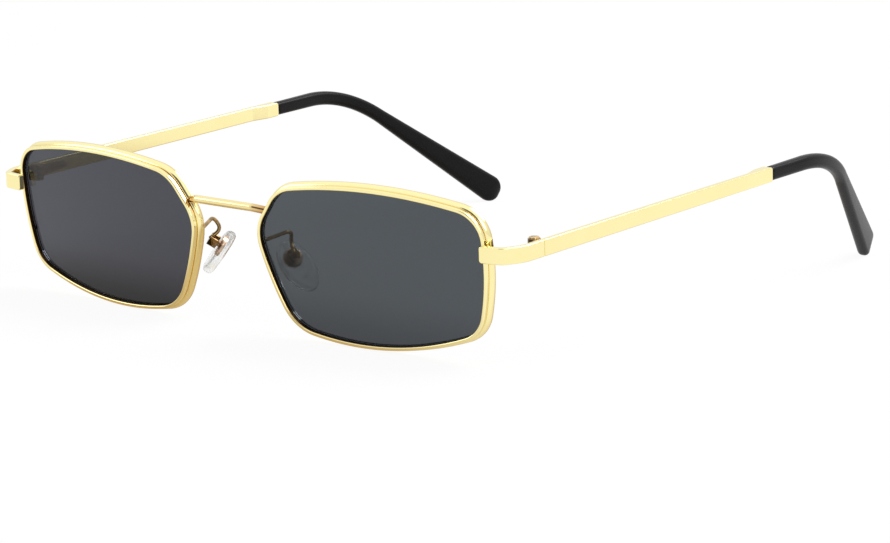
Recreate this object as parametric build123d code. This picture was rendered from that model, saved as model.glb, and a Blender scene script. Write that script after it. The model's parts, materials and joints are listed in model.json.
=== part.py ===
from build123d import *
import math
import os

os.makedirs("parts", exist_ok=True)

# Frame of reference
# Millimetres and degrees. +X is the wearer's left, +Y runs back to the ears, +Z is up.
# The front is drawn upright with the middle of the bridge above the origin, each left
# piece is mirrored for the right, and at the end the open glasses are tipped until the
# rims and the temple tips stand on the same level, with the origin under their middle.

# Temples: length from the hinge to the tip's end, and their downward pitch from the front
bar_length = 78.0
tip_length = 73.8
temple_pitch = 5.6
level_steps = 6

# Lens outline: five corners as seen from the front, from the boxing centre of the lens
lens_spacing = 36.0
lens_level = 3.1
face_form_radius = 370.0
corner_outer_top = (26.0, 12.7)
corner_bridge_top = (-21.1, 14.1)
corner_nose_upper = (-27.2, 5.6)
corner_nose_lower = (-19.7, -13.8)
corner_outer_bottom = (24.0, -11.0)
rise_top = 2.55
rise_nose = 0.9
rise_bottom = 3.45
rise_outer = 1.45
radius_outer_top = 6.2
radius_bridge_top = 8.0
radius_nose_upper = 7.4
radius_nose_lower = 9.2
radius_outer_bottom = 6.6

# Rim section: a front lip, a fine neck and a wider band behind it
lip_width = 0.75
lip_depth = 0.85
neck_width = 0.5
neck_depth = 0.25
band_width = 1.3
rim_depth = 2.6
lip_edge_round = 0.22
band_edge_round = 0.32
rim_slit = 0.2

# Lens: recessed behind the lip, its edge tongue held in the rim's groove
lens_recess = 1.0
lens_thickness = 1.5
lens_fit = 0.03
groove_depth = 0.45
tongue_width = 0.6

# Bridge: one round wire with a foot bent back to each rim
bridge_wire = 1.65
bridge_rise = 9.9
bridge_setback = 0.87
bridge_foot_out = 2.7
bridge_foot_back = 1.2
bridge_foot_drop = 0.7
bridge_bend = 1.2

# End piece: a flat strap from the rim's front round the corner to the hinge
end_piece_out = 4.86
strap_rise = 4.8
strap_seat = 0.09
strap_height = 3.35
strap_thickness = 1.25
strap_front_sweep = 0.9
strap_corner_in = 2.3
strap_corner_length = 4.35
strap_side_run = 6.1
strap_corner_round = 2.6
strap_side_round = 7.0
strap_tip_round = 0.6
strap_edge_round = 0.2
joint_gap = 0.1

# Rim lock: two closing blocks and their screw, behind the strap
lock_width = 3.2
lock_depth = 2.4
lock_rise = 0.8
lock_drop = 1.6
lock_setback = 0.75
lock_screw = 1.0
lock_head = 1.7
lock_head_height = 0.4

# Hinge: three knuckles on one screw
barrel = 2.6
barrel_clearance = 0.1
knuckle_gap = 0.06
middle_knuckle = 1.25
hinge_screw = 1.1
hinge_screw_fit = 0.03
hinge_head = 2.1
hinge_head_height = 0.3
leaf_thickness = 0.7
leaf_height = 2.7
leaf_end_height = 1.3
front_leaf = 4.0
rear_leaf = 8.2
screw_slot = 0.25
screw_slot_depth = 0.2

# Temple: a flat bar, its thicker end block and the core wire inside the tip
bar_thickness = 1.25
bar_end_height = 3.1
block_thickness = 2.3
block_length = 3.8
ramp_length = 4.0
bar_edge_round = 0.2
bar_end_round = 0.5
core_wire = 1.2
core_end_margin = 9.0

# Temple tip: a moulded sleeve bent down behind the ear and turned in
tip_start_thickness = 2.15
tip_start_height = 3.05
tip_bend_thickness = 2.5
tip_bend_height = 3.15
tip_end_thickness = 2.7
tip_end_height = 6.2
tip_straight = 12.0
tip_bend_radius = 31.0
tip_bend_angle = 42.0
tip_turn_in = 27.7
tip_round_share = 0.42
body_steps = 16
cap_steps = 6

# Nose pad: a soft pad on a metal insert, carried by a box on a bent wire
pad_length = 11.8
pad_width = 6.6
pad_thickness = 2.3
pad_edge_round = 0.95
pad_from_root = Vector(2.25, 6.95, -7.3)
pad_long_direction = Vector(-0.69, 0.05, 0.72)
pad_back_direction = Vector(0.63, -0.49, 0.61)
insert_diameter = 4.2
insert_thickness = 0.5
insert_depth = 0.6
stud_offset = 1.9
stud_width = 1.2
stud_thickness = 0.75
stud_length = 1.15
box_length = 2.2
box_width = 1.75
box_gap = 0.25
box_fit = 0.08
box_wall = 0.45
pad_screw = 0.6
pad_screw_head = 1.1
pad_screw_head_height = 0.3
arm_wire = 0.8
arm_rise = 2.8
arm_cover = 0.84
arm_setback = 2.3
arm_reach = Vector(2.25, 6.3, 0.6)
arm_return = Vector(-1.2, 0.7, -2.7)
arm_bend = 1.4


def side_at(start, end, rise, level):
    """Sideways place of one side of the lens outline at a level above its boxing centre."""
    share = (level - start[1]) / (end[1] - start[1])
    run = Vector(*end) - Vector(*start)
    bulge = rise * run.Y / run.length * 4 * share * (1 - share)
    return lens_spacing + (start[0] + run.X * share + bulge) * math.cos(face_form)


def rim_front(x):
    """Setback of the rims' curved front surface at a distance from the middle."""
    return face_form_radius - math.sqrt(face_form_radius**2 - x**2)


# Sizes that follow from the ones above
lens_span = corner_outer_top[0] - corner_nose_upper[0]
face_form = math.asin(lens_spacing / face_form_radius)
band_start = lip_depth + neck_depth
tongue_start = lens_recess + (lens_thickness - tongue_width) / 2
groove_start = tongue_start - lens_fit
groove_end = tongue_start + tongue_width + lens_fit
eye_level = pad_thickness / 2 + stud_length

# The hinge stands out from the lens opening, and the strap's tip ends at that opening
opening_x = side_at(corner_outer_bottom, corner_outer_top, rise_outer, strap_rise)
hinge_offset = barrel / 2 + barrel_clearance + bar_thickness
inner_face = hinge_offset - bar_thickness
hinge_x = opening_x + end_piece_out
hinge_height = lens_level + strap_rise
strap_run = strap_side_run + strap_corner_length + strap_front_sweep
strap_back = strap_run * math.cos(math.radians(temple_pitch)) - strap_thickness + strap_seat
hinge_setback = rim_front(opening_x) + strap_back

strap_end = (hinge_offset, -joint_gap / 2)
strap_side = (hinge_offset, -strap_side_run)
strap_corner = (hinge_offset - strap_corner_in, strap_side[1] - strap_corner_length)
strap_tip = (-end_piece_out, strap_corner[1] - strap_front_sweep)

# The bridge's feet and the pad arms' roots lie on the nasal sides of the rims
foot_rise = bridge_rise - bridge_foot_drop
foot_x = side_at(corner_bridge_top, corner_nose_upper, 0, foot_rise) - band_width
root_x = side_at(corner_nose_upper, corner_nose_lower, rise_nose, arm_rise) - arm_cover
arm_root = Vector(root_x, arm_setback, lens_level + arm_rise)

lock_x = (strap_tip[0] + strap_corner[0]) / 2
lock_front = (strap_tip[1] + strap_corner[1]) / 2 + strap_thickness
lock_y = lock_front + lock_depth / 2

# Places of the curved lens and rim, and of the hinge with everything set by it
lens_centre = (lens_spacing, rim_front(lens_spacing), lens_level)
lens_place = Location(lens_centre, (0, 0, math.degrees(face_form)))
hinge_place = Location((hinge_x, hinge_setback, hinge_height), (-temple_pitch, 0, 0))


def save(name, shape):
    """Write one piece, standing as the open glasses rest."""
    export_step(stand * shape, "parts/" + name + ".step")


def save_pair(name, shape):
    """Write a left piece, and its mirror image for the right."""
    save(name + "_left", shape)
    save(name + "_right", mirror(shape, about=Plane.YZ))


def block(low, high):
    """A box between two opposite corners."""
    size = Vector(*high) - Vector(*low)
    centre = (Vector(*high) + Vector(*low)) / 2
    return Pos(centre) * Box(size.X, size.Y, size.Z)


def rod(diameter, low, high):
    """An upright rod on the hinge's own axis, between two levels."""
    return Pos(0, 0, (low + high) / 2) * Cylinder(diameter / 2, high - low)


def lens_face(grow):
    """Lens outline in its own plane, grown outwards by an offset."""
    corners = [
        corner_outer_top,
        corner_bridge_top,
        corner_nose_upper,
        corner_nose_lower,
        corner_outer_bottom,
    ]
    rises = [rise_top, 0, rise_nose, rise_bottom, rise_outer]
    radii = [
        radius_outer_top,
        radius_bridge_top,
        radius_nose_upper,
        radius_nose_lower,
        radius_outer_bottom,
    ]
    edges = []
    for index, rise in enumerate(rises):
        start = Vector(*corners[index])
        end = Vector(*corners[(index + 1) % len(corners)])
        along = (end - start).normalized()
        middle = (start + end) / 2 + Vector(along.Y, -along.X) * rise
        edges.append(ThreePointArc(start, middle, end) if rise else Line(start, end))
    face = make_face(edges)
    for corner, radius in zip(corners, radii):
        nearest = min(face.vertices(), key=lambda v: (Vector(*corner) - Vector(v.X, v.Y)).length)
        face = fillet(nearest, radius)
    return offset(face, amount=grow) if grow else face


def lens_prism(grow):
    """The grown outline as a column along the lens's own axis."""
    upright = Plane(origin=(0, 0, 0), x_dir=(1, 0, 0), z_dir=(0, -1, 0))
    return extrude(upright * lens_face(grow), amount=lens_span, both=True)


def form_layer(start, end):
    """The layer between two depths behind the curved front surface of the rims."""
    outer = Cylinder(face_form_radius - start, lens_span * 2)
    inner = Cylinder(face_form_radius - end, lens_span * 2)
    return Pos(0, face_form_radius, 0) * (outer - inner)


def ring(outer, inner, start, end):
    """A band of the rim between two offsets of the outline and two depths."""
    return (lens_prism(outer) - lens_prism(inner)) & form_layer(start, end)


def front_and_back(shape):
    """The two broad faces of a band of the rim."""
    broad = shape.faces().sort_by(SortBy.AREA)[-2:]
    return ShapeList(broad).sort_by(Axis.Y)


def make_rim():
    """The eyewire: lip, neck and band, grooved inside and slit behind the strap."""
    lip = ring(lip_width, 0, 0, lip_depth)
    lip = fillet(front_and_back(lip)[0].edges(), lip_edge_round)
    band = ring(band_width, 0, band_start, rim_depth)
    front, back = front_and_back(band)
    band = fillet(front.outer_wire().edges() + back.edges(), band_edge_round)
    rim = lip + ring(neck_width, 0, lip_depth, band_start) + band
    rim -= ring(groove_depth + lens_fit, 0, groove_start, groove_end)
    reach = band_width + lock_width / 2
    slit = Box(reach * 2, (lock_depth + rim_depth + strap_thickness) * 2, rim_slit)
    return lens_place * rim - hinge_place * (Pos(lock_x, lock_y, 0) * slit)


def make_lens():
    """The tinted lens, with a tongue all round its edge."""
    body = lens_prism(-lens_fit) & form_layer(lens_recess, lens_recess + lens_thickness)
    tongue = lens_prism(groove_depth) & form_layer(tongue_start, tongue_start + tongue_width)
    return lens_place * (body + tongue)


def make_bridge(rims):
    """A straight round wire whose two ends bend back to the rims."""
    foot = Vector(foot_x, bridge_setback + bridge_foot_back, lens_level + foot_rise)
    bar = foot - Vector(bridge_foot_out, bridge_foot_back, -bridge_foot_drop)
    mirrored = [Vector(-point.X, point.Y, point.Z) for point in (foot, bar)]
    path = FilletPolyline(*mirrored, bar, foot, radius=bridge_bend)
    start = Plane(origin=path @ 0, z_dir=path % 0)
    wire = sweep(start * Circle(bridge_wire / 2), path=path) - rims
    return wire.solids().sort_by(SortBy.VOLUME)[-1]


def make_strap(rim):
    """The end piece, bent round the corner from the rim's front to the hinge."""
    turns = [strap_corner_round, strap_side_round]
    path = FilletPolyline(strap_tip, strap_corner, strap_side, strap_end, radius=turns)
    outline = offset(path, amount=strap_thickness, side=Side.LEFT)
    strap = extrude(make_face(outline), amount=strap_height / 2, both=True)
    tip_face = strap.faces().sort_by(Axis.X)[0]
    strap = fillet(tip_face.edges().filter_by(Axis.Z, reverse=True), strap_tip_round)
    strap = fillet(strap.edges(), strap_edge_round)
    return hinge_place * strap - rim


def make_lock(strap, rim):
    """The two closing blocks of the slit rim, and the screw that draws them together."""
    half_width = lock_width / 2
    left, right = lock_x - half_width, lock_x + half_width
    front, back = lock_front - lock_setback, lock_front + lock_depth
    upper = block((left, front, rim_slit / 2), (right, back, lock_rise))
    lower = block((left, front, -lock_drop), (right, back, -rim_slit / 2))
    head_low = -lock_drop - lock_head_height
    shank = Pos(lock_x, lock_y) * rod(lock_screw, -lock_drop, lock_rise)
    head = Pos(lock_x, lock_y) * rod(lock_head, head_low, -lock_drop)
    slot = Pos(lock_x, lock_y, head_low) * Box(lock_head * 2, screw_slot, screw_slot_depth * 2)
    blocks = [hinge_place * (half - shank) - strap - rim for half in (upper, lower)]
    return blocks, hinge_place * (shank + head - slot)


def make_hinge():
    """Front and rear hinge halves and their screw, about the hinge axis."""
    half = strap_height / 2
    inner = middle_knuckle / 2
    outer = inner + knuckle_gap
    root = barrel / 2 + barrel_clearance
    hole = rod(hinge_screw, -half, half)
    leaf_start = inner_face - leaf_thickness

    front = block((leaf_start, -root - front_leaf, -leaf_height / 2), (inner_face, -root, leaf_height / 2))
    for low, high in ((outer, half), (-half, -outer)):
        web = block((0, -root, low), (inner_face, 0, high)) - rod(root * 2, low, high)
        front += rod(barrel, low, high) + block((leaf_start, -root, low), (inner_face, -joint_gap / 2, high))
    front -= hole

    tall = leaf_height / 2
    slim = leaf_end_height / 2
    far = root + rear_leaf
    side = Plane.YZ * make_face(Polyline((root, -tall), (far, -slim), (far, slim), (root, tall), close=True))
    rear = Pos(leaf_start, 0, 0) * extrude(side, amount=leaf_thickness)
    rear += rod(barrel, -inner, inner)
    rear += block((0, joint_gap / 2, -inner), (inner_face, root, inner))
    rear -= rod(hinge_screw + hinge_screw_fit * 2, -half, half)

    top = half + hinge_head_height
    head = rod(hinge_head, half, top)
    slot = Pos(0, 0, top) * Box(hinge_head * 2, screw_slot, screw_slot_depth * 2)
    screw = hole + head - slot
    return hinge_place * front, hinge_place * rear, hinge_place * screw


def tip_frame(distance):
    """Section plane of the temple tip at a distance along its centre line."""
    centre = Vector(hinge_offset - block_thickness / 2, bar_length, 0)
    forward = Vector(0, 1, 0)
    across = Vector(1, 0, 0)
    turn_in = math.radians(tip_turn_in)
    down = Vector(-math.sin(turn_in), 0, -math.cos(turn_in))
    side = forward.cross(down)
    straight = min(distance, tip_straight)
    bend_run = tip_bend_radius * math.radians(tip_bend_angle)
    bent = min(max(distance - tip_straight, 0), bend_run)
    rest = max(distance - tip_straight - bend_run, 0)
    angle = bent / tip_bend_radius
    heading = forward * math.cos(angle) + down * math.sin(angle)
    swing = forward * math.sin(angle) + down * (1 - math.cos(angle))
    point = centre + forward * straight + swing * tip_bend_radius + heading * rest
    turned = across.rotate(Axis((0, 0, 0), side), math.degrees(angle))
    return Plane(origin=point, x_dir=turned, z_dir=heading)


def make_core():
    """The core wire that runs on from the bar's end block into the tip."""
    bend_end = tip_straight + tip_bend_radius * math.radians(tip_bend_angle)
    end = tip_length - core_end_margin
    places = [tip_frame(d) for d in (0, tip_straight, (tip_straight + bend_end) / 2, bend_end, end)]
    first = Line(places[0].origin, places[1].origin)
    bend = ThreePointArc(places[1].origin, places[2].origin, places[3].origin)
    last = Line(places[3].origin, places[4].origin)
    return sweep(places[0] * Circle(core_wire / 2), path=Wire([first, bend, last]))


def make_bar(core):
    """The flat temple bar with its ramp, end block and core wire."""
    outer = hinge_offset
    block_face = outer - block_thickness
    ramp_end = bar_length - block_length
    plan = Polyline(
        (outer, joint_gap / 2),
        (outer, bar_length),
        (block_face, bar_length),
        (block_face, ramp_end),
        (inner_face, ramp_end - ramp_length),
        (inner_face, joint_gap / 2),
        close=True,
    )
    half = strap_height / 2
    slim = bar_end_height / 2
    side = Polyline(
        (joint_gap / 2, -half),
        (bar_length, -slim),
        (bar_length, slim),
        (joint_gap / 2, half),
        close=True,
    )
    bar = extrude(make_face(plan), amount=strap_height, both=True)
    bar &= extrude(Plane.YZ * make_face(side), amount=hinge_offset * 2, both=True)
    end_face = bar.faces().sort_by(Axis.Y)[-1]
    bar = fillet(end_face.edges().filter_by(Axis.X), bar_end_round)
    bar = fillet(bar.edges(), bar_edge_round)
    return hinge_place * (bar + core)


def tip_section(distance, scale=1.0):
    """The tip's rounded section, growing from the bar to the end behind the ear."""
    bend_end = tip_straight + tip_bend_radius * math.radians(tip_bend_angle)
    round_start = tip_length - tip_end_height / 2
    first = min(distance / tip_straight, 1)
    last = min(max((distance - bend_end) / (round_start - bend_end), 0), 1)
    thickness = tip_start_thickness + (tip_bend_thickness - tip_start_thickness) * first
    thickness += (tip_end_thickness - tip_bend_thickness) * last
    height = tip_start_height + (tip_bend_height - tip_start_height) * first
    height += (tip_end_height - tip_bend_height) * last
    corner = thickness * tip_round_share * scale
    return tip_frame(distance) * RectangleRounded(thickness * scale, height * scale, corner)


def make_tip(core):
    """The moulded sleeve over the core wire, with a rounded paddle end."""
    round_radius = tip_end_height / 2
    round_start = tip_length - round_radius
    body = loft([tip_section(round_start * step / body_steps) for step in range(body_steps + 1)])
    turns = [math.radians(90 * step / cap_steps) for step in range(cap_steps)]
    cap = loft([tip_section(round_start + round_radius * math.sin(a), math.cos(a)) for a in turns])
    return hinge_place * (body + cap - core)


def pad_frame():
    """Middle of the nose pad: X up its length, Z away from the nose towards its box."""
    centre = arm_root + pad_from_root
    return Plane(origin=centre, x_dir=pad_long_direction, z_dir=pad_back_direction)


def across(diameter, low, high):
    """A rod along the pad screw's axis, between two places across the pad."""
    turned = Rot(-90, 0, 0) * Cylinder(diameter / 2, high - low)
    return Pos(stud_offset, (low + high) / 2, eye_level) * turned


def make_pad_parts():
    """Soft pad, metal insert with its stud, box, screw and arm on the left of the nose."""
    skin = pad_thickness / 2
    frame = pad_frame()

    plate_top = skin - insert_depth
    plate = Pos(stud_offset, 0, plate_top - insert_thickness / 2)
    plate *= Cylinder(insert_diameter / 2, insert_thickness)
    half_stud = Vector(stud_width, stud_thickness) / 2
    stud_low = (stud_offset - half_stud.X, -half_stud.Y, plate_top)
    stud_high = (stud_offset + half_stud.X, half_stud.Y, eye_level)
    insert = plate + block(stud_low, stud_high) + across(stud_width, -half_stud.Y, half_stud.Y)
    pocket = insert
    insert -= across(pad_screw + hinge_screw_fit * 2, -half_stud.Y, half_stud.Y)

    pad = extrude(Ellipse(pad_length / 2, pad_width / 2), amount=skin, both=True)
    pad = fillet(pad.edges(), pad_edge_round) - pocket

    inner = half_stud.Y + box_fit
    wall_start = eye_level + stud_width / 2 + box_fit
    wall_end = wall_start + box_wall
    low = (stud_offset - box_length / 2, -box_width / 2, skin + box_gap)
    high = (stud_offset + box_length / 2, box_width / 2, wall_end)
    box = block(low, high)
    box -= block((low[0], -inner, low[2]), (high[0], inner, wall_start))
    shank = across(pad_screw, -box_width / 2, box_width / 2)
    head_end = -box_width / 2 - pad_screw_head_height
    screw = shank + across(pad_screw_head, head_end, -box_width / 2)
    box -= shank

    arm_end = frame.from_local_coords(Vector(stud_offset, 0, wall_end))
    hook = arm_root + arm_reach
    path = FilletPolyline(arm_root, hook, hook + arm_return, arm_end, radius=arm_bend)
    start = Plane(origin=path @ 0, z_dir=path % 0)
    arm = sweep(start * Circle(arm_wire / 2), path=path)
    return [frame * piece for piece in (pad, insert, box, screw)] + [arm]


# The left half, drawn upright
left_rim = make_rim()
left_strap = make_strap(left_rim)
lock_blocks, lock_screw_solid = make_lock(left_strap, left_rim)
front_hinge, rear_hinge, hinge_screw_solid = make_hinge()
front_hinge -= left_strap
core = make_core()
pad, pad_insert, pad_box, pad_screw_solid, pad_arm = make_pad_parts()
pad_arm = (pad_arm - pad_box - left_rim).solids().sort_by(SortBy.VOLUME)[-1]
both_rims = left_rim + mirror(left_rim, about=Plane.YZ)

pairs = {
    "rim": left_rim,
    "lens": make_lens(),
    "end_piece": left_strap,
    "rim_lock_upper": lock_blocks[0],
    "rim_lock_lower": lock_blocks[1],
    "rim_screw": lock_screw_solid,
    "front_hinge": front_hinge,
    "temple_hinge": rear_hinge,
    "hinge_screw": hinge_screw_solid,
    "temple_bar": make_bar(core),
    "temple_tip": make_tip(core),
    "pad_arm": pad_arm,
    "pad_box": pad_box,
    "pad_screw": pad_screw_solid,
    "pad_insert": pad_insert,
    "nose_pad": pad,
}


def tipped_box(name, tilt):
    """Bounding box of a piece once the glasses are tipped by an angle."""
    return (Rot(tilt, 0, 0) * pairs[name]).bounding_box()


def resting_tilt():
    """The tilt at which the rims and the temple tips touch the same level."""
    tilt = temple_pitch
    for _ in range(level_steps):
        gap = tipped_box("rim", tilt).min.Z - tipped_box("temple_tip", tilt).min.Z
        tilt += math.degrees(gap / (bar_length + tip_length))
    return tilt


# Tip the glasses to their resting place, with the origin under their middle
tilt = resting_tilt()
rim_box = tipped_box("rim", tilt)
middle = (rim_box.min.Y + tipped_box("temple_tip", tilt).max.Y) / 2
stand = Pos(0, -middle, -rim_box.min.Z) * Rot(tilt, 0, 0)

save("bridge", make_bridge(both_rims))
for name, shape in pairs.items():
    save_pair(name, shape)
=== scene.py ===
import json
import math

import bmesh
import bpy
from mathutils import Matrix, Vector


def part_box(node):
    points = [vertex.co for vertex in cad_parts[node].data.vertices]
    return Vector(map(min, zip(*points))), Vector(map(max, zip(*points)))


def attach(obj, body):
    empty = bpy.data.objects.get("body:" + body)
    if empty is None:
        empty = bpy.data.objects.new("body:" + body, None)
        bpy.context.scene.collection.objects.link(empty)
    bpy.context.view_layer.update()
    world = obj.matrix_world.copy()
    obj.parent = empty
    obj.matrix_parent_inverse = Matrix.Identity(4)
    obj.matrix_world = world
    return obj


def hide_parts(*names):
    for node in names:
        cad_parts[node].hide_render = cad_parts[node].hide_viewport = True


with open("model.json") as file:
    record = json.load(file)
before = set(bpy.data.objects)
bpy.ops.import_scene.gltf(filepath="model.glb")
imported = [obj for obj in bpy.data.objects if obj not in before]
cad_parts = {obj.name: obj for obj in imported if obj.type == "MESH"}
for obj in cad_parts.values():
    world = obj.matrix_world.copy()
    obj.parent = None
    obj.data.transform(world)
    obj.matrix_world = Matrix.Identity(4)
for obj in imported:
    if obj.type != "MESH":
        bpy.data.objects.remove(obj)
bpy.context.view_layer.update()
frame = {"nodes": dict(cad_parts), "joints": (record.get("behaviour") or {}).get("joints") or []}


# Camera. It stands where the photograph was taken from: in front, to the wearer's left and a
# little above, with a long lens that keeps the perspective flat.
photo_width = 890
focal_pixels = 3862.4
camera_azimuth = math.radians(39.0395)
camera_height = math.radians(11.1291)
camera_roll = math.radians(0.2427)
camera_distance = 0.773
camera_target = Vector((0.04014, -0.056679, 0.0144255))
nearest_seen = 0.05
farthest_seen = 20.0

camera_data = bpy.data.cameras.new("camera")
camera = bpy.data.objects.new("camera", camera_data)
bpy.context.scene.collection.objects.link(camera)
bpy.context.scene.camera = camera
camera_data.lens = focal_pixels * camera_data.sensor_width / photo_width
camera_data.clip_start = nearest_seen
camera_data.clip_end = farthest_seen
camera.matrix_world = (
    Matrix.Translation(camera_target)
    @ Matrix.Rotation(camera_azimuth, 4, "Z")
    @ Matrix.Rotation(math.pi / 2 - camera_height, 4, "X")
    @ Matrix.Rotation(camera_roll, 4, "Z")
    @ Matrix.Translation((0, 0, camera_distance))
)


# Studio. The glasses stand on a wide white floor under a white sky, lit by three broad soft lamps,
# and the floor keeps a faint shadow. Mirrored rays alone see a warm painted shadow on the floor
# under the frame and a dark patch of sky, which give the polished metal its depth.
floor_size = 6.0
floor_squares = 24
floor_white = (0.9, 0.9, 0.9, 1.0)
floor_roughness = 0.9
pure_white = (1.0, 1.0, 1.0, 1.0)
seen_share = 0.93
mirrored_share = 0.8
# Painted shadow: mirrored rays see the floor under the frame painted warm and darker
painted_shadow_colour = (0.58, 0.44, 0.28, 1.0)
under_centre = (-0.01, -0.01, 0.0)
under_inner = 0.07
under_outer = 0.11
sky_strength = 0.55
horizon_level = 0.85
zenith_level = 1.1
zenith_rise = 0.75
gap_direction = Vector((0.25, -0.82, 0.46)).normalized()
gap_outer = math.radians(27)
gap_inner = math.radians(17)
gap_depth = 0.88


class Tone:
    """One output of a shader node. Arithmetic on it adds the Math nodes that work it out."""

    def __init__(self, finish, socket):
        self.finish = finish
        self.socket = socket

    def math(self, operation, left, right):
        return self.finish.node("ShaderNodeMath", {"operation": operation}, {0: left, 1: right})

    def __add__(self, other):
        return self.math("ADD", self, other)

    def __radd__(self, other):
        return self.math("ADD", other, self)

    def __sub__(self, other):
        return self.math("SUBTRACT", self, other)

    def __rsub__(self, other):
        return self.math("SUBTRACT", other, self)

    def __mul__(self, other):
        return self.math("MULTIPLY", self, other)

    def __rmul__(self, other):
        return self.math("MULTIPLY", other, self)


class Finish:
    """A material built round one Principled shader."""

    def __init__(self, name):
        self.material = bpy.data.materials.new(name)
        self.material.use_nodes = True
        self.tree = self.material.node_tree
        self.shader = self.tree.nodes["Principled BSDF"]
        self.output = self.tree.nodes["Material Output"]

    def node(self, kind, settings=None, sockets=None, output=0):
        """Add a node with its settings and its sockets' values or links; return one output."""
        node = self.tree.nodes.new(kind)
        for key, value in (settings or {}).items():
            setattr(node, key, value)
        self.fill(node, sockets or {})
        return Tone(self, node.outputs[output])

    def fill(self, node, sockets):
        """Give each of a node's sockets its value or its link."""
        for key, value in sockets.items():
            if isinstance(value, Tone):
                self.tree.links.new(value.socket, node.inputs[key])
            else:
                node.inputs[key].default_value = value

    def surface(self, sockets):
        """Set the Principled shader's own sockets."""
        self.fill(self.shader, sockets)

    def place(self):
        """Object coordinates, in metres."""
        return self.node("ShaderNodeTexCoord", output="Object")

    def along(self, place, axis):
        """One coordinate of a place."""
        return self.node("ShaderNodeSeparateXYZ", sockets={0: place}, output=axis)

    def noise(self, place, scale, detail):
        """A cloudy pattern of values round a half."""
        sockets = {"Vector": place, "Scale": scale, "Detail": detail}
        return self.node("ShaderNodeTexNoise", sockets=sockets)

    def ramp(self, value, start, end, low=0.0, high=1.0, curve="LINEAR"):
        """A value that goes from low to high while another goes from start to end."""
        sockets = {"Value": value, "From Min": start, "From Max": end, "To Min": low, "To Max": high}
        return self.node("ShaderNodeMapRange", {"interpolation_type": curve}, sockets)

    def mix(self, share, low, high):
        """A colour between two others."""
        sockets = {0: share, 6: low, 7: high}
        return self.node("ShaderNodeMix", {"data_type": "RGBA"}, sockets, output=2)

    def measure(self, operation, first, second):
        """A number worked out from two vectors."""
        settings = {"operation": operation}
        return self.node("ShaderNodeVectorMath", settings, {0: first, 1: second}, "Value")

    def ray(self, kind):
        """One for rays of a kind, and nought for the others."""
        return self.node("ShaderNodeLightPath", output=f"Is {kind} Ray")

    def blend(self, share, first, second):
        """A surface or light between two others."""
        return self.node("ShaderNodeMixShader", sockets={0: share, 1: first, 2: second})


floor_shape = bmesh.new()
bmesh.ops.create_grid(
    floor_shape, x_segments=floor_squares, y_segments=floor_squares, size=floor_size / 2
)
floor_mesh = bpy.data.meshes.new("floor")
floor_shape.to_mesh(floor_mesh)
floor_shape.free()
floor = bpy.data.objects.new("floor", floor_mesh)
bpy.context.scene.collection.objects.link(floor)

floor_finish = Finish("studio_white")
floor_finish.surface({
    "Base Color": floor_white,
    "Roughness": floor_roughness,
    "Specular IOR Level": 0.0,
})
plain = Tone(floor_finish, floor_finish.shader.outputs[0])
# The painted shadow fades from under the frame out to plain white
from_centre = floor_finish.measure("DISTANCE", floor_finish.place(), under_centre)
under = floor_finish.ramp(from_centre, under_outer, under_inner, curve="SMOOTHSTEP")
painted_shadow_patch = floor_finish.mix(under, pure_white, painted_shadow_colour)
reflected = floor_finish.node("ShaderNodeEmission", sockets={"Color": painted_shadow_patch})
seen = floor_finish.node("ShaderNodeEmission", sockets={"Color": pure_white})
looked_at = floor_finish.ray("Camera")
direct_share = looked_at.math("MAXIMUM", looked_at, floor_finish.ray("Transmission")) * seen_share
lit_floor = floor_finish.blend(floor_finish.ray("Glossy") * mirrored_share, plain, reflected)
floor_surface = floor_finish.blend(direct_share, lit_floor, seen)
floor_finish.tree.links.new(floor_surface.socket, floor_finish.output.inputs["Surface"])
floor_mesh.materials.append(floor_finish.material)


class Sky(Finish):
    """The light that comes from all round, built with the same small set of nodes."""

    def __init__(self, world):
        self.tree = world.node_tree
        self.output = self.tree.nodes["World Output"]

    def light(self, strength):
        """Plain white light."""
        sockets = {"Color": pure_white, "Strength": strength}
        return self.node("ShaderNodeBackground", sockets=sockets)


world = bpy.data.worlds.new("studio")
world.use_nodes = True
bpy.context.scene.world = world
sky = Sky(world)
direction = sky.node("ShaderNodeTexCoord", output="Generated")
sky_level = sky.ramp(sky.along(direction, "Z"), 0.0, zenith_rise, horizon_level, zenith_level)
towards_gap = sky.measure("DOT_PRODUCT", direction, gap_direction)
gap = sky.ramp(towards_gap, math.cos(gap_outer), math.cos(gap_inner), curve="SMOOTHSTEP")
mirrored_sky = sky.light((1.0 - gap * gap_depth) * sky_level)
lighting = sky.blend(sky.ray("Diffuse"), mirrored_sky, sky.light(sky_strength))
sky_light = sky.blend(sky.ray("Camera"), lighting, sky.light(1.0))
sky.tree.links.new(sky_light.socket, sky.output.inputs["Surface"])

lamps = {
    "lamp_above": {"place": (0.5, 0.7, 1.2), "size": 1.0, "power": 16.0},
    "lamp_left": {"place": (1.4, -0.5, 0.7), "size": 0.9, "power": 5.0},
    "lamp_right": {"place": (-1.3, -0.9, 0.6), "size": 0.8, "power": 3.0},
}
for name, values in lamps.items():
    lamp_data = bpy.data.lights.new(name, "AREA")
    lamp_data.shape = "DISK"
    lamp_data.size = values["size"]
    lamp_data.energy = values["power"]
    lamp = bpy.data.objects.new(name, lamp_data)
    bpy.context.scene.collection.objects.link(lamp)
    lamp_place = Vector(values["place"])
    facing = lamp_place.to_track_quat("Z", "Y").to_matrix().to_4x4()
    lamp.matrix_world = Matrix.Translation(lamp_place) @ facing

bpy.context.scene.view_settings.view_transform = "Standard"


# Rims. Each eyewire is a strip of metal rolled to its section and bent round the lens, with a
# rounded lip in front, a fine sunk neck behind it and a wider band, all plated pale gold.

# Where the hinges stand on the upright front, and how the front is curved
hinge_setback = 0.0154514
hinge_x = 0.0673514
hinge_height = 0.0079
strap_height = 0.00335
temple_pitch = math.radians(5.6)
lens_spacing = 0.036
lens_level = 0.0031
face_form_radius = 0.370

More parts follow.
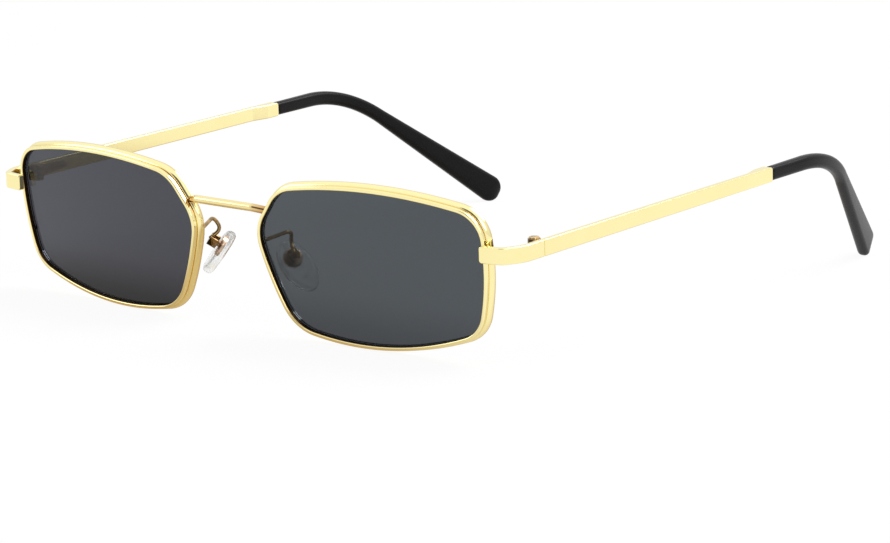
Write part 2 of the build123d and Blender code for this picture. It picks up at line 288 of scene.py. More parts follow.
# The lens opening: its corners, how far the side after each one rises, and how each is rounded
corners = {
    "outer_top": (0.026, 0.0127),
    "bridge_top": (-0.0211, 0.0141),
    "nose_upper": (-0.0272, 0.0056),
    "nose_lower": (-0.0197, -0.0138),
    "outer_bottom": (0.024, -0.011),
}
straight = 1e-7
rises = [0.00255, straight, 0.0009, 0.00345, 0.00145]
corner_radii = [0.0062, 0.008, 0.0074, 0.0092, 0.0066]
side_step = 0.0011
corner_step = 0.00045
weld_distance = 1e-8
crease_angle = math.radians(35)

# The rim's section, out from the lens and back from the front
lip_width = 0.00075
lip_depth = 0.00085
neck_width = 0.0005
band_start = 0.0011
band_width = 0.0013
rim_depth = 0.0026
lip_round = 0.00022
band_round = 0.00032
band_crown = 0.0011
crown_steps = 10
back_round = 0.0001
back_round_steps = 3
lens_fit = 0.00003
groove_depth = 0.00048
groove_start = 0.00142
groove_end = 0.00208
slit_level = 0.0048
slit_width = 0.0002
outer_slope_share = 0.9
# Shares of the neck's painted shade along the straight sides and at the corners
straight_neck_share = 0.08
corner_neck_share = 0.95

# The plating, the shade painted into its crevices and near the floor, and the fine marks on it
gold_light = (0.985, 0.895, 0.475, 1.0)
gold_deep = (0.96, 0.835, 0.405, 1.0)
gold_roughness = 0.1
# Painted shade: shaded points are painted through brown towards near black
shade_colour = (0.62, 0.37, 0.14, 1.0)
crevice_shade_colour = (0.075, 0.042, 0.016, 1.0)
# Painted shade: metal close to the floor is painted warmer and darker
floor_shade_colour = (0.80, 0.56, 0.30, 1.0)
floor_shade_reach = 0.0035
floor_shade_share = 0.35
drift_scale = 90.0
drift_detail = 3.0
polish_scale = 1400.0
polish_detail = 2.0
polish_depth = 0.00002
polish_strength = 0.05
polish_roughness = 0.06
drift_roughness = 0.05
crevice_roughness = 0.12

# The front is drawn upright, and these places stand it as the open glasses rest
joints = {joint["name"]: joint for joint in frame["joints"]}
fold = joints["temple_fold_left"]
fold_axis = Vector(fold["axis"])
hinge_centre = Vector(fold["pos_m"]) + fold_axis * strap_height / 2
lean = math.atan2(-fold_axis.y, fold_axis.z)
hinge_place = Matrix.Translation(hinge_centre) @ Matrix.Rotation(lean, 4, "X")
front_place = (
    Matrix.Translation(hinge_centre)
    @ Matrix.Rotation(lean + temple_pitch, 4, "X")
    @ Matrix.Translation((-hinge_x, -hinge_setback, -hinge_height))
)
face_form = math.asin(lens_spacing / face_form_radius)
lens_setback = face_form_radius - math.sqrt(face_form_radius**2 - lens_spacing**2)
lens_place = (
    front_place
    @ Matrix.Translation((lens_spacing, lens_setback, lens_level))
    @ Matrix.Rotation(face_form, 4, "Z")
)


def side_circle(start, end, rise):
    """Centre and radius of the long shallow arc that makes one side of the outline."""
    chord = end - start
    outward = Vector((chord.y, -chord.x)).normalized()
    radius = (chord.length**2 / 4 + rise**2) / (2 * rise)
    return (start + end) / 2 - outward * (radius - rise), radius


def nearer_meeting(first, first_radius, second, second_radius, corner):
    """Where two circles meet, at the side nearer to a corner."""
    between = second - first
    gap = between.length
    along = (first_radius**2 - second_radius**2 + gap**2) / (2 * gap)
    across = math.sqrt(first_radius**2 - along**2)
    foot = first + between * (along / gap)
    side = Vector((-between.y, between.x)) * (across / gap)
    return min(foot + side, foot - side, key=lambda point: (point - corner).length)


def arc_points(centre, start, end, step):
    """Points and outward normals along an arc, up to but not including its end."""
    first, last = start - centre, end - centre
    sweep = (math.atan2(last.y, last.x) - math.atan2(first.y, first.x)) % (2 * math.pi)
    count = max(2, math.ceil(sweep * first.length / step))
    points = []
    for index in range(count):
        spoke = Matrix.Rotation(sweep * index / count, 2) @ first
        points.append((centre + spoke, spoke.normalized()))
    return points


def lens_outline():
    """The lens opening as points and outward normals, seen from the front."""
    places = [Vector(corner) for corner in corners.values()]
    count = len(places)
    circles = [side_circle(places[i], places[(i + 1) % count], rises[i]) for i in range(count)]
    rounds = []
    for i, radius in enumerate(corner_radii):
        (before, wide_before), (after, wide_after) = circles[i - 1], circles[i]
        centre = nearer_meeting(before, wide_before - radius, after, wide_after - radius, places[i])
        touch_before = before + (centre - before).normalized() * wide_before
        touch_after = after + (centre - after).normalized() * wide_after
        rounds.append((centre, touch_before, touch_after))
    points = []
    for i, (centre, touch_before, touch_after) in enumerate(rounds):
        next_touch = rounds[(i + 1) % count][1]
        points += arc_points(centre, touch_before, touch_after, corner_step)
        points += arc_points(circles[i][0], touch_after, next_touch, side_step)
    return points


outline = lens_outline()


def outline_ring(offset, depth, share=1.0, path=outline):
    """The outline grown by an offset, at a depth behind the curved front of the rims."""
    ring = []
    for point, normal in path:
        u, v = (point + normal * offset) * share
        y = face_form_radius - math.sqrt((face_form_radius - depth) ** 2 - u**2)
        ring.append(lens_place @ Vector((u, y, v)))
    return ring


def round_corner(centre, radius, start, end, steps=6):
    """Points round a corner of a flat profile, between two angles in degrees."""
    angles = [math.radians(start + (end - start) * step / steps) for step in range(steps + 1)]
    return [(centre[0] + radius * math.cos(a), centre[1] + radius * math.sin(a)) for a in angles]


def skin(rings, fill_ends=False, painted_shade=None):
    """A skin over closed rings of points: the first is drawn and then extruded to the next ones.

    Painted shade says for each point of each ring how much shade is painted on it, from 0 to 1.
    """
    shape = bmesh.new()
    painted_shade_layer = shape.verts.layers.float.new("painted_shade")
    loop = [shape.verts.new(point) for point in rings[0]]
    edges = [shape.edges.new((loop[i - 1], loop[i])) for i in range(len(loop))]
    first_edges = edges
    loops = [loop]
    for ring in rings[1:]:
        made = bmesh.ops.extrude_edge_only(shape, edges=edges)["geom"]
        places = {vert: index for index, vert in enumerate(loop)}
        loop = list(loop)
        for vert in (item for item in made if isinstance(item, bmesh.types.BMVert)):
            neighbours = (edge.other_vert(vert) for edge in vert.link_edges)
            old = next(neighbour for neighbour in neighbours if neighbour in places)
            loop[places[old]] = vert
            vert.co = ring[places[old]]
        new = set(loop)
        edges = [item for item in made if isinstance(item, bmesh.types.BMEdge)]
        edges = [edge for edge in edges if edge.verts[0] in new and edge.verts[1] in new]
        loops.append(loop)
    for loop, depths in zip(loops, painted_shade or []):
        for vert, depth in zip(loop, depths):
            vert[painted_shade_layer] = depth
    if fill_ends:
        bmesh.ops.contextual_create(shape, geom=first_edges)
        bmesh.ops.contextual_create(shape, geom=edges)
    bmesh.ops.remove_doubles(shape, verts=shape.verts, dist=weld_distance)
    bmesh.ops.recalc_face_normals(shape, faces=shape.faces)
    return shape


def add_piece(name, shape, finish, body, stands_for):
    """Make the finished object of one piece and tie it to its body."""
    mesh = bpy.data.meshes.new(name)
    shape.to_mesh(mesh)
    mesh.materials.append(finish.material)
    mesh.polygons.foreach_set("use_smooth", [True] * len(mesh.polygons))
    mesh.set_sharp_from_angle(angle=crease_angle)
    piece = bpy.data.objects.new(name, mesh)
    bpy.context.scene.collection.objects.link(piece)
    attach(piece, body)
    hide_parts(stands_for)


def add_pair(name, shape, finish, body="front"):
    """Make a left piece and its mirror image on the right, for the two nodes of that name."""
    for side, mirror in (("left", 1), ("right", -1)):
        copy = shape.copy()
        if mirror < 0:
            bmesh.ops.scale(copy, vec=(mirror, 1, 1), verts=copy.verts)
            bmesh.ops.reverse_faces(copy, faces=copy.faces)
        node = f"{name}_{side}"
        add_piece(node, copy, finish, body.format(side), node)
        copy.free()
    shape.free()


def gold(name, light, deep, roughness, cloud_scale=drift_scale):
    """Plated metal: warm colour that drifts slightly, painted shade in crevices and near the floor, and
    faint polishing marks.
    """
    finish = Finish(name)
    place = finish.place()
    drift = finish.noise(place, cloud_scale, drift_detail)
    polish = finish.noise(place, polish_scale, polish_detail)
    # Painted shade: the mesh's painted-shade value darkens the colour towards near black
    painted_shade = finish.node("ShaderNodeAttribute", {"attribute_name": "painted_shade"}, output="Fac")
    # Painted shade near the floor
    low = finish.ramp(finish.along(place, "Z"), 0.0, floor_shade_reach, floor_shade_share, 0.0)
    plating = finish.mix(low, finish.mix(drift, deep, light), floor_shade_colour)
    shaded = finish.mix(painted_shade.math("MINIMUM", painted_shade * 2, 1.0), plating, shade_colour)
    darkest = painted_shade.math("MAXIMUM", painted_shade * 2 - 1, 0.0)
    marks = (polish - 0.5) * polish_roughness + (drift - 0.5) * drift_roughness
    bump = {"Strength": polish_strength, "Distance": polish_depth, "Height": polish}
    finish.surface({
        "Base Color": finish.mix(darkest, shaded, crevice_shade_colour),
        "Metallic": 1.0,
        "Roughness": roughness + marks + painted_shade * crevice_roughness,
        "Normal": finish.node("ShaderNodeBump", sockets=bump),
    })
    return finish


gold_finish = gold("pale_gold_plating", gold_light, gold_deep, gold_roughness)

lip_front = [
    *round_corner((lip_round, lip_round), lip_round, 180, 270),
    *round_corner((lip_width - lip_round, lip_round), lip_round, 270, 360),
]
lip_back_centre = (lip_width - back_round, lip_depth - back_round)
lip_back = round_corner(lip_back_centre, back_round, 0, 90, back_round_steps)
neck = [(neck_width, lip_depth), (neck_width, band_start)]
crown_angles = [math.radians(90 * step / crown_steps) for step in range(1, crown_steps + 1)]
crown = [
    (
        neck_width + (band_width - neck_width) * math.sin(angle),
        band_start + band_crown * (1 - math.cos(angle)),
    )
    for angle in crown_angles
]
band_outer = round_corner((band_width - band_round, rim_depth - band_round), band_round, 0, 90)
band_inner = round_corner((band_round, rim_depth - band_round), band_round, 90, 180)
groove = [
    (0, groove_end),
    (groove_depth, groove_end),
    (groove_depth, groove_start),
    (0, groove_start),
]
rim_profile = [*lip_front, *lip_back, *neck, *crown, *band_outer, *band_inner, *groove]

# Painted shade on each point of the section, deepest on the wall beside the lens, in the neck and
# in the groove. The neck's list runs on over the first two points of the band's crown.
wall_painted_shade = [1.0, 0.8, 0.35, *[0.0] * (len(lip_front) - 3)]
neck_painted_shade = [*[0.25] * len(lip_back), *[1.0] * len(neck), 0.55, 0.2]
crown_painted_shade = [*[0.0] * (len(crown) - 4), 0.1, 0.22]
band_painted_shade = [*[0.3] * len(band_outer), *[0.15] * len(band_inner)]
groove_painted_shade = [1.0] * len(groove)

above_slit = min(
    index
    for index, (point, normal) in enumerate(outline)
    if point.x > 0 and normal.x > outer_slope_share and point.y > slit_level
)
slit_ends = []
for level in (slit_level + slit_width / 2, slit_level - slit_width / 2):
    (low, normal), (high, _) = outline[above_slit - 1], outline[above_slit]
    slit_ends.append((low.lerp(high, (level - low.y) / (high.y - low.y)), normal))
strip = [slit_ends[0], *outline[above_slit:], *outline[:above_slit], slit_ends[1]]
rim_rings = list(zip(*(outline_ring(offset, depth, path=strip) for offset, depth in rim_profile)))
rim_painted_shade = []
# The neck's painted shade is deepest where the outline slants at its corners
for _, normal in strip:
    slant = max(2 * abs(normal.x) * normal.y, 0)
    share = straight_neck_share + (corner_neck_share - straight_neck_share) * slant**2
    neck_depths = [depth * share for depth in neck_painted_shade]
    rim_painted_shade.append([*wall_painted_shade, *neck_depths, *crown_painted_shade, *band_painted_shade, *groove_painted_shade])
add_pair("rim", skin(rim_rings, fill_ends=True, painted_shade=rim_painted_shade), gold_finish)


# Lenses. Each is cut from a curved sheet of grey tinted plastic, with a narrow tongue left all
# round its edge that snaps into the rim's groove; both faces are polished.
lens_recess = 0.001
lens_thickness = 0.0015
lens_back = lens_recess + lens_thickness
tongue_depth = 0.00045
tongue_start = 0.00145
tongue_end = 0.00205
edge_chamfer = 0.00008
lens_steps = 9

# The grey tint with painted shade: darker towards the bottom of each lens, where it mirrors the shadowed
# floor, and darker on the far lens than on the near one
near_dark = (0.058, 0.065, 0.074, 1.0)
near_pale = (0.0767, 0.0882, 0.098, 1.0)
far_dark = (0.028, 0.031, 0.036, 1.0)
far_pale = (0.060, 0.063, 0.0765, 1.0)
shade_rise_share = 0.35
lens_gleam = (0.25, 0.25, 0.25, 1.0)
lens_roughness = 0.02
lens_index = 1.5

face_shares = [step / lens_steps for step in range(lens_steps)]
face_edge = -lens_fit - edge_chamfer
lens_rings = [outline_ring(face_edge, lens_recess, share) for share in face_shares]
lens_rings += [
    outline_ring(face_edge, lens_recess),
    outline_ring(-lens_fit, lens_recess + edge_chamfer),
    outline_ring(-lens_fit, tongue_start),
    outline_ring(tongue_depth, tongue_start),
    outline_ring(tongue_depth, tongue_end),
    outline_ring(-lens_fit, tongue_end),
    outline_ring(-lens_fit, lens_back - edge_chamfer),
    outline_ring(face_edge, lens_back),
]
lens_rings += [outline_ring(face_edge, lens_back, share) for share in reversed(face_shares)]

lens_finish = Finish("grey_tint")
lens_low, lens_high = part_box("lens_left")
shade_top = lens_low.z + (lens_high.z - lens_low.z) * shade_rise_share
spot = lens_finish.place()
height = lens_finish.along(spot, "Z")
# Painted shade towards the lens bottoms and on the far lens
pale_share = lens_finish.ramp(height, lens_low.z, shade_top, curve="SMOOTHSTEP")
near_share = lens_finish.ramp(lens_finish.along(spot, "X"), -lens_low.x, lens_low.x)
near_tint_and_shade = lens_finish.mix(pale_share, near_dark, near_pale)
far_tint_and_shade = lens_finish.mix(pale_share, far_dark, far_pale)
lens_finish.surface({
    "Base Color": lens_finish.mix(near_share, far_tint_and_shade, near_tint_and_shade),
    "Roughness": lens_roughness,
    "IOR": lens_index,
    "Specular Tint": lens_gleam,
    "Transmission Weight": 1.0,
})
add_pair("lens", skin(lens_rings), lens_finish)


# Bridge. One round wire of the rims' metal joins them, bent back at both ends and brazed on their
# sides, and painted with shade that grows darker and browner towards both ends.
bridge_wire = 0.00165
bridge_rise = 0.0099
bridge_setback = 0.00087
bridge_bend = 0.0012
foot_x = 0.0102
foot_out = 0.0027
foot_back = 0.0012
foot_drop = 0.0007
wire_sides = 24
end_shade_reach = 0.0016
end_shade_depth = 0.55


def bent_path(points, radius, steps=10):
    """A line through points with its corners rounded by arcs of one radius."""
    path = [points[0]]
    for before, corner, after in zip(points, points[1:], points[2:]):
        into, out = (before - corner).normalized(), (after - corner).normalized()
        half = into.angle(out) / 2
        reach = radius / math.tan(half)
        centre = corner + (into + out).normalized() * (radius / math.sin(half))
        start, end = corner + into * reach, corner + out * reach
        spoke = start - centre
        axis = spoke.cross(end - centre)
        sweep = spoke.angle(end - centre)
        turns = [Matrix.Rotation(sweep * step / steps, 3, axis) for step in range(steps + 1)]
        path += [centre + turn @ spoke for turn in turns]
    return path + [points[-1]]


def wire_rings(path, radii):
    """Rings round a path, carried along it without twist."""
    rings = []
    heading = (path[1] - path[0]).normalized()
    side = heading.orthogonal().normalized()
    turns = [2 * math.pi * step / wire_sides for step in range(wire_sides)]
    for index, (point, radius) in enumerate(zip(path, radii)):
        before = path[max(index - 1, 0)]
        after = path[min(index + 1, len(path) - 1)]
        new_heading = (after - before).normalized()
        side = (heading.rotation_difference(new_heading) @ side).normalized()
        heading = new_heading
        up = heading.cross(side)
        rings.append([point + (side * math.cos(a) + up * math.sin(a)) * radius for a in turns])
    return rings


foot = Vector((foot_x, bridge_setback + foot_back, lens_level + bridge_rise - foot_drop))
bend = foot - Vector((foot_out, foot_back, -foot_drop))
left_points = [bend, foot]
right_points = [Vector((-point.x, point.y, point.z)) for point in reversed(left_points)]
bridge_line = bent_path(right_points + left_points, bridge_bend)
bridge_path = [front_place @ point for point in bridge_line]
bridge_rings = wire_rings(bridge_path, [bridge_wire / 2] * len(bridge_path))
# Painted shade at both ends of the wire, deepest where it meets the rims
bar_end = abs(bend.x) - bridge_bend / 2
end_shade_shares = [min(max((abs(point.x) - bar_end) / end_shade_reach, 0), 1) for point in bridge_path]
bridge_painted_shade = [[share * end_shade_depth] * wire_sides for share in end_shade_shares]
bridge_shape = skin(bridge_rings, fill_ends=True, painted_shade=bridge_painted_shade)
add_piece("bridge_wire", bridge_shape, gold_finish, "front", "bridge")
bridge_shape.free()


# Hinges. A front half with two knuckles and a temple half with one, milled and soldered on, turn on
# a slotted screw; the temple half's leaf tapers back along the inside of the bar.
barrel_radius = 0.0013
barrel_root = 0.0014
barrel_steps = 24
barrel_start = math.radians(-2)
barrel_end = math.radians(270)
inner_face = 0.0014
leaf_face = 0.0007
middle_half = 0.000625
knuckle_gap = 0.00006
joint_gap = 0.0001
knuckle_end = strap_height / 2
outer_low = middle_half + knuckle_gap
leaf_half = 0.00135
leaf_end_half = 0.00065
leaf_edge = 0.00018
front_leaf = 0.004
rear_leaf = 0.0082
broken_edge = 0.0001
sharp_angle = math.radians(25)

hinge_screw_shank = 0.0011
hinge_screw_head = 0.0021
hinge_screw_rise = 0.0003
slot_width = 0.00025
slot_depth = 0.0002
shank_edge = 0.00003
head_edge = 0.00002
slot_edge = 0.00005
head_lap = 0.00002
disc_steps = 48

# The hinges are painted far darker than the plating and mottled: painted shade with lighter patches, for
# hinges that sit in shade behind the end pieces
hinge_light = (0.70, 0.50, 0.27, 1.0)
hinge_deep = (0.07, 0.04, 0.02, 1.0)
hinge_roughness = 0.14
hinge_drift = 380.0
hinge_finish = gold("hinge_gold_painted_shade", hinge_light, hinge_deep, hinge_roughness, hinge_drift)
screw_light = (0.90, 0.70, 0.38, 1.0)
screw_deep = (0.66, 0.47, 0.22, 1.0)
screw_roughness = 0.2
screw_finish = gold("turned_screws", screw_light, screw_deep, screw_roughness)


def disc(radius, centre=(0, 0)):
    """Points round a circle."""
    turns = [2 * math.pi * step / disc_steps for step in range(disc_steps)]
    return [(centre[0] + radius * math.cos(a), centre[1] + radius * math.sin(a)) for a in turns]


def slab(low, high):
    """The four corners of a rectangle."""
    return [(low[0], low[1]), (high[0], low[1]), (high[0], high[1]), (low[0], high[1])]


def prism(profile, start, end, edge=broken_edge, place=None):
    """A flat profile raised between two levels, its edges broken by a small bevel."""
    shape = skin([[(x, y, level) for x, y in profile] for level in (start, end)], fill_ends=True)
    sharp = [corner for corner in shape.edges if corner.calc_face_angle(0) > sharp_angle]
    bmesh.ops.bevel(
        shape, geom=sharp, offset=edge, segments=2, profile=0.5, affect="EDGES", material=-1
    )
    if place:
        shape.transform(place)
    return shape


def joined(shapes, place):
    """Several closed shapes as one, put in their place."""
    whole = bmesh.new()
    for shape in shapes:
        part = bpy.data.meshes.new("part")
        shape.to_mesh(part)
        whole.from_mesh(part)
        bpy.data.meshes.remove(part)
        shape.free()
    whole.transform(place)
    return whole


def slotted_screw(shank, head, low, high, head_rise, place):
    """A screw along Z: its shank between two levels and its slotted head above the upper one."""
    slot_floor = high + head_rise - slot_depth
    slot_reach = math.asin(slot_width / head)
    sweep = math.pi - 2 * slot_reach
    turns = [slot_reach + sweep * step / disc_steps for step in range(disc_steps + 1)]
    cheek = [(head / 2 * math.cos(a), head / 2 * math.sin(a)) for a in turns]
    other_cheek = [(-x, -y) for x, y in cheek]
    return joined([
        prism(disc(shank / 2), low, high, shank_edge),
        prism(disc(head / 2), high, slot_floor, head_edge),
        prism(cheek, slot_floor - head_lap, high + head_rise, slot_edge),
        prism(other_cheek, slot_floor - head_lap, high + head_rise, slot_edge),
    ], place)


barrel_sweep = barrel_end - barrel_start
barrel_turns = [barrel_start + barrel_sweep * step / barrel_steps for step in range(barrel_steps + 1)]
knuckle = [(inner_face, -joint_gap / 2)]
knuckle += [(barrel_radius * math.cos(a), barrel_radius * math.sin(a)) for a in barrel_turns]
knuckle += [(leaf_face, -barrel_root), (inner_face, -barrel_root)]
front_leaf_slab = slab((leaf_face, -barrel_root - front_leaf), (inner_face, -barrel_root))
front_hinge = joined([
    prism(knuckle, outer_low, knuckle_end),
    prism(knuckle, -knuckle_end, -outer_low),
    prism(front_leaf_slab, -leaf_half, leaf_half, leaf_edge),
], hinge_place)
add_pair("front_hinge", front_hinge, hinge_finish)

rear_knuckle = [(x, -y) for x, y in reversed(knuckle)]
leaf_sides = [
    (barrel_root, -leaf_half),
    (barrel_root + rear_leaf, -leaf_end_half),
    (barrel_root + rear_leaf, leaf_end_half),
    (barrel_root, leaf_half),
]
upright_leaf = Matrix(((0, 0, 1, 0), (1, 0, 0, 0), (0, 1, 0, 0), (0, 0, 0, 1)))
temple_hinge = joined([
    prism(rear_knuckle, -middle_half, middle_half),
    prism(leaf_sides, leaf_face, inner_face, leaf_edge, upright_leaf),
], hinge_place)
add_pair("temple_hinge", temple_hinge, hinge_finish, "temple_{}")

hinge_screw = slotted_screw(
    hinge_screw_shank, hinge_screw_head, -knuckle_end, knuckle_end, hinge_screw_rise, hinge_place
)
add_pair("hinge_screw", hinge_screw, screw_finish)


# Rim locks. Behind each end piece the cut ends of the rim carry two small blocks, drawn together
# by a slotted screw from below.
lock_centre = Vector((-0.002255, -0.00845, 0))
lock_size = Vector((0.0032, 0.00315, 0))
lock_front = -0.0104
lock_rise = 0.0008
lock_drop = 0.0016
lock_edge = 0.00015
lock_screw_shank = 0.001
lock_screw_head = 0.0017
lock_screw_rise = 0.0004

lock_left = lock_centre.x - lock_size.x / 2
lock_slab = slab((lock_left, lock_front), (lock_left + lock_size.x, lock_front + lock_size.y))
upper_lock = prism(lock_slab, slit_width / 2, lock_rise, lock_edge, hinge_place)
add_pair("rim_lock_upper", upper_lock, gold_finish)
lower_lock = prism(lock_slab, -lock_drop, -slit_width / 2, lock_edge, hinge_place)
add_pair("rim_lock_lower", lower_lock, gold_finish)

head_down = Matrix.Translation(lock_centre) @ Matrix.Rotation(math.pi, 4, "X")
lock_screw = slotted_screw(
    lock_screw_shank, lock_screw_head, -lock_rise, lock_drop, lock_screw_rise, hinge_place @ head_down
)
add_pair("rim_screw", lock_screw, screw_finish)


# Pad arms and boxes. A wire brazed to the back of each rim hooks round to a small open box; the
# pad's stud sits between the box's cheeks on a slotted screw, which lets the pad rock.
stud_offset = 0.0019
eye_level = 0.0023
pad_facing = Vector((0.63, -0.49, 0.61))
box_length = 0.0022
box_half_width = 0.000875
box_half_channel = 0.000455
box_start = 0.0014
channel_end = 0.00298
box_end = 0.00343
box_edge = 0.00012
pad_screw_shank = 0.0006
pad_screw_head = 0.0011
pad_screw_rise = 0.0003
arm_wire = 0.0008
arm_root = Vector((0.00875, 0.0023, 0.0059))
arm_reach = Vector((0.00225, 0.0063, 0.0006))
arm_return = Vector((-0.0012, 0.0007, -0.0027))
arm_bend = 0.0014
arm_bend_steps = 14
arm_sink = 0.0001
flare_run = 0.0007
flare_share = 0.7
flare_steps = 5

# The box is painted near black: painted shade for its shadowed opening, with lighter patches
box_light = (0.46, 0.30, 0.13, 1.0)
box_deep = (0.03, 0.015, 0.006, 1.0)
box_drift = 420.0
box_finish = gold("box_gold_painted_shade", box_light, box_deep, gold_roughness, box_drift)
# The arms are painted darker and mottled: painted shade, so that they show dark behind the lens
arm_light = (0.78, 0.53, 0.24, 1.0)
arm_deep = (0.05, 0.025, 0.008, 1.0)
arm_drift = 650.0
arm_finish = gold("arm_gold_painted_shade", arm_light, arm_deep, gold_roughness, arm_drift)

rock = joints["pad_rock_left"]
pad_across = Vector(rock["axis"])
pad_away = (front_place.to_3x3() @ pad_facing).normalized()
pad_away = (pad_away - pad_across * pad_away.dot(pad_across)).normalized()
pad_along = pad_across.cross(pad_away)
pad_place = Matrix((pad_along, pad_across, pad_away)).transposed().to_4x4()
pad_place.translation = Vector(rock["pos_m"]) - pad_along * stud_offset - pad_away * eye_level

box_profile = [
    (-box_half_width, box_start),
    (-box_half_channel, box_start),
    (-box_half_channel, channel_end),
    (box_half_channel, channel_end),
    (box_half_channel, box_start),
    (box_half_width, box_start),
    (box_half_width, box_end),
    (-box_half_width, box_end),
]
box_low = stud_offset - box_length / 2
box_place = pad_place @ upright_leaf
pad_box = prism(box_profile, box_low, box_low + box_length, box_edge, box_place)
add_pair("pad_box", pad_box, box_finish)

stud_place = pad_place @ Matrix.Translation((stud_offset, 0, eye_level))
pad_screw = slotted_screw(
    pad_screw_shank,
    pad_screw_head,
    -box_half_width,
    box_half_width,
    pad_screw_rise,
    stud_place @ Matrix.Rotation(math.pi / 2, 4, "X"),
)
add_pair("pad_screw", pad_screw, screw_finish)

hook = arm_root + arm_reach
arm_points = [front_place @ point for point in (arm_root, hook, hook + arm_return)]
arm_points.append(pad_place @ Vector((stud_offset, 0, box_end - arm_sink)))
arm_path = bent_path(arm_points, arm_bend, arm_bend_steps)
first_leg = (arm_path[1] - arm_path[0]).normalized() * flare_run
flare_path = [arm_path[0] + first_leg * step / flare_steps for step in range(flare_steps + 1)]
arm_path = [*flare_path, *arm_path[1:]]
flares = [(1 - min(step / flare_steps, 1)) ** 2 * flare_share for step in range(len(arm_path))]
arm_rings = wire_rings(arm_path, [arm_wire / 2 * (1 + flare) for flare in flares])
add_pair("pad_arm", skin(arm_rings, fill_ends=True), arm_finish)


# Pad inserts. Inside each soft pad a pressed disc of rose-coloured metal carries the flat stud,
# whose rounded end stands out of the pad's back.
insert_radius = 0.0021
insert_low = 0.00005
insert_high = 0.00055
insert_edge = 0.00012
stud_half_length = 0.0006
stud_half_width = 0.000375
stud_edge = 0.00008
eye_steps = 16

insert_light = (0.76, 0.56, 0.42, 1.0)
insert_deep = (0.50, 0.35, 0.24, 1.0)
insert_roughness = 0.26
insert_finish = gold("pad_insert_metal", insert_light, insert_deep, insert_roughness)

eye_arc = round_corner((stud_offset, eye_level), stud_half_length, 0, 180, eye_steps)
stud_foot = [(stud_offset - stud_half_length, insert_high), (stud_offset + stud_half_length, insert_high)]
upright_stud = Matrix(((1, 0, 0, 0), (0, 0, 1, 0), (0, 1, 0, 0), (0, 0, 0, 1)))
insert_disc = disc(insert_radius, (stud_offset, 0))
insert = joined([
    prism(insert_disc, insert_low, insert_high, insert_edge),
    prism(stud_foot + eye_arc, -stud_half_width, stud_half_width, stud_edge, upright_stud),
], pad_place)

# Standing the stud upright mirrors it, so its faces are turned outwards again
bmesh.ops.recalc_face_normals(insert, faces=insert.faces)
add_pair("pad_insert", insert, insert_finish, "pad_{}")


# Nose pads. Clear soft silicone moulded round the insert: an oval, slightly crowned towards the
# nose and slightly dished behind.
pad_half_length = 0.0059
pad_half_width = 0.0033
pad_half_thickness = 0.00115
pad_round = 0.00095
pad_crown = 0.00012
pad_dish = 0.00015
slope_inset = 0.0017
dish_inset = 0.0024
crown_inset = 0.0026
pad_turns = 96
pad_round_steps = 10

pad_clear = (0.97, 0.975, 0.97, 1.0)
pad_roughness = 0.28
pad_index = 1.41
pad_finish = Finish("clear_silicone")
pad_finish.surface({
    "Base Color": pad_clear,
    "Roughness": pad_roughness,
    "IOR": pad_index,
    "Transmission Weight": 1.0,
})


def pad_ring(inset, level):
    """The pad's oval, drawn in by an inset, at a level through its thickness."""
    length, width = pad_half_length - inset, pad_half_width - inset
    turns = [2 * math.pi * step / pad_turns for step in range(pad_turns)]
    return [pad_place @ Vector((length * math.cos(a), width * math.sin(a), level)) for a in turns]


back_level = pad_half_thickness
front_level = -pad_half_thickness
front_round = pad_round - pad_crown
edge_turns = [math.radians(90 - 90 * step / pad_round_steps) for step in range(pad_round_steps + 1)]
pad_rings = [
    pad_ring(dish_inset, back_level - pad_dish),
    pad_ring(slope_inset, back_level - pad_dish / 2),
]
for angle in edge_turns:
    inset = pad_round * (1 - math.cos(angle))
    pad_rings.append(pad_ring(inset, back_level - pad_round * (1 - math.sin(angle))))
for angle in reversed(edge_turns):
    inset = pad_round * (1 - math.cos(angle))
    level = front_level + pad_crown + front_round * (1 - math.sin(angle))
    pad_rings.append(pad_ring(inset, level))
pad_rings += [
    pad_ring(slope_inset, front_level + pad_crown / 3),
    pad_ring(crown_inset, front_level),
]
pad_shape = skin(pad_rings, fill_ends=True)
add_pair("nose_pad", pad_shape, pad_finish, "pad_{}")


# Temple tips. Each is a sleeve of black plastic moulded over the bar's core wire, bent down
# behind the ear, turned in, and widened to a rounded paddle.
bar_length = 0.078
tip_length = 0.0738
tip_straight = 0.012
tip_bend_radius = 0.031
tip_bend_angle = math.radians(42)
tip_turn_in = math.radians(27.7)
tip_middle = 0.0015
start_size = Vector((0.00215, 0.00305))
bend_size = Vector((0.0025, 0.00315))
end_size = Vector((0.0027, 0.0062))
tip_round_share = 0.42
mouth_round = 0.00018
mouth_share = 0.3
tip_step = 0.0009
cap_steps = 12
cap_sweep = math.radians(87)

tip_black = (0.004, 0.004, 0.0045, 1.0)
tip_bloom = (0.008, 0.008, 0.0085, 1.0)
tip_roughness = 0.27
tip_shine = 0.11
bloom_scale = 60.0
bloom_detail = 2.0
bloom_roughness = 0.08
grain_scale = 900.0
grain_detail = 4.0
grain_depth = 0.00003
grain_strength = 0.22

tip_finish = Finish("black_moulded")
tip_spot = tip_finish.place()
grain = tip_finish.noise(tip_spot, grain_scale, grain_detail)
bloom = tip_finish.noise(tip_spot, bloom_scale, bloom_detail)
grain_bump = {"Strength": grain_strength, "Distance": grain_depth, "Height": grain}
tip_finish.surface({
    "Base Color": tip_finish.mix(bloom, tip_black, tip_bloom),
    "Roughness": tip_roughness + (bloom - 0.5) * bloom_roughness,
    "Specular IOR Level": tip_shine,
    "Normal": tip_finish.node("ShaderNodeBump", sockets=grain_bump),
})

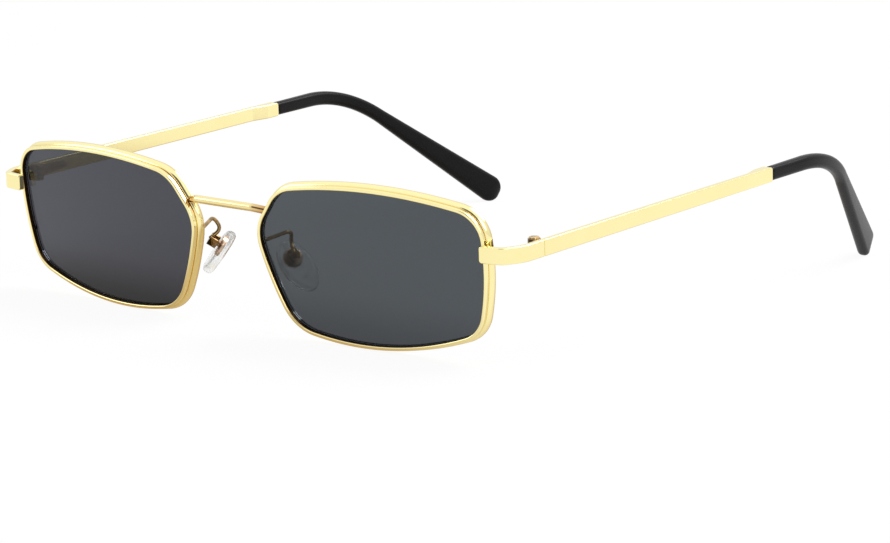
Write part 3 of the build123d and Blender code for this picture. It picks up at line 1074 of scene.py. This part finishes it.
bend_run = tip_bend_radius * tip_bend_angle
bend_end = tip_straight + bend_run
cap_reach = end_size.y / 2
cap_start = tip_length - cap_reach
tip_forward = Vector((0, 1, 0))
tip_down = Vector((-math.sin(tip_turn_in), 0, -math.cos(tip_turn_in)))
tip_side = tip_forward.cross(tip_down)


def tip_section(distance, scale=1.0, inset=0.0):
    """The tip's rounded section at a distance along its centre line."""
    angle = min(max(distance - tip_straight, 0), bend_run) / tip_bend_radius
    heading = tip_forward * math.cos(angle) + tip_down * math.sin(angle)
    swing = tip_forward * math.sin(angle) + tip_down * (1 - math.cos(angle))
    centre = Vector((tip_middle, bar_length, 0)) + tip_forward * min(distance, tip_straight)
    centre += swing * tip_bend_radius + heading * max(distance - bend_end, 0)
    across = Matrix.Rotation(angle, 3, tip_side) @ Vector((1, 0, 0))
    upwards = heading.cross(across)
    size = start_size.lerp(bend_size, min(distance / tip_straight, 1))
    size += (end_size - bend_size) * min(max((distance - bend_end) / (cap_start - bend_end), 0), 1)
    size = size * scale - Vector((inset, inset)) * 2
    corner = size.x * tip_round_share
    ring = []
    for turn, (sign_x, sign_y) in enumerate([(1, 1), (-1, 1), (-1, -1), (1, -1)]):
        middle = (sign_x * (size.x / 2 - corner), sign_y * (size.y / 2 - corner))
        ring += round_corner(middle, corner, 90 * turn, 90 * (turn + 1))
    return [hinge_place @ (centre + across * x + upwards * y) for x, y in ring]


tip_rings = [
    tip_section(0, inset=mouth_round),
    tip_section(mouth_round * mouth_share, inset=mouth_round * mouth_share),
]
body_count = round(cap_start / tip_step)
for step in range(body_count + 1):
    tip_rings.append(tip_section(mouth_round + (cap_start - mouth_round) * step / body_count))
for step in range(1, cap_steps + 1):
    angle = cap_sweep * step / cap_steps
    tip_rings.append(tip_section(cap_start + cap_reach * math.sin(angle), math.cos(angle)))
tip_shape = skin(tip_rings, fill_ends=True)
add_pair("temple_tip", tip_shape, tip_finish, "temple_{}")


# End pieces and temple bars. Both are cut from flat strip with rounded edges and plated with the
# rims: the end piece bent round the corner to the hinge, and the bar drawn down to its core wire.
for part in ("end_piece", "temple_bar"):
    for side in ("left", "right"):
        frame["nodes"][f"{part}_{side}"].material_slots[0].material = gold_finish.material
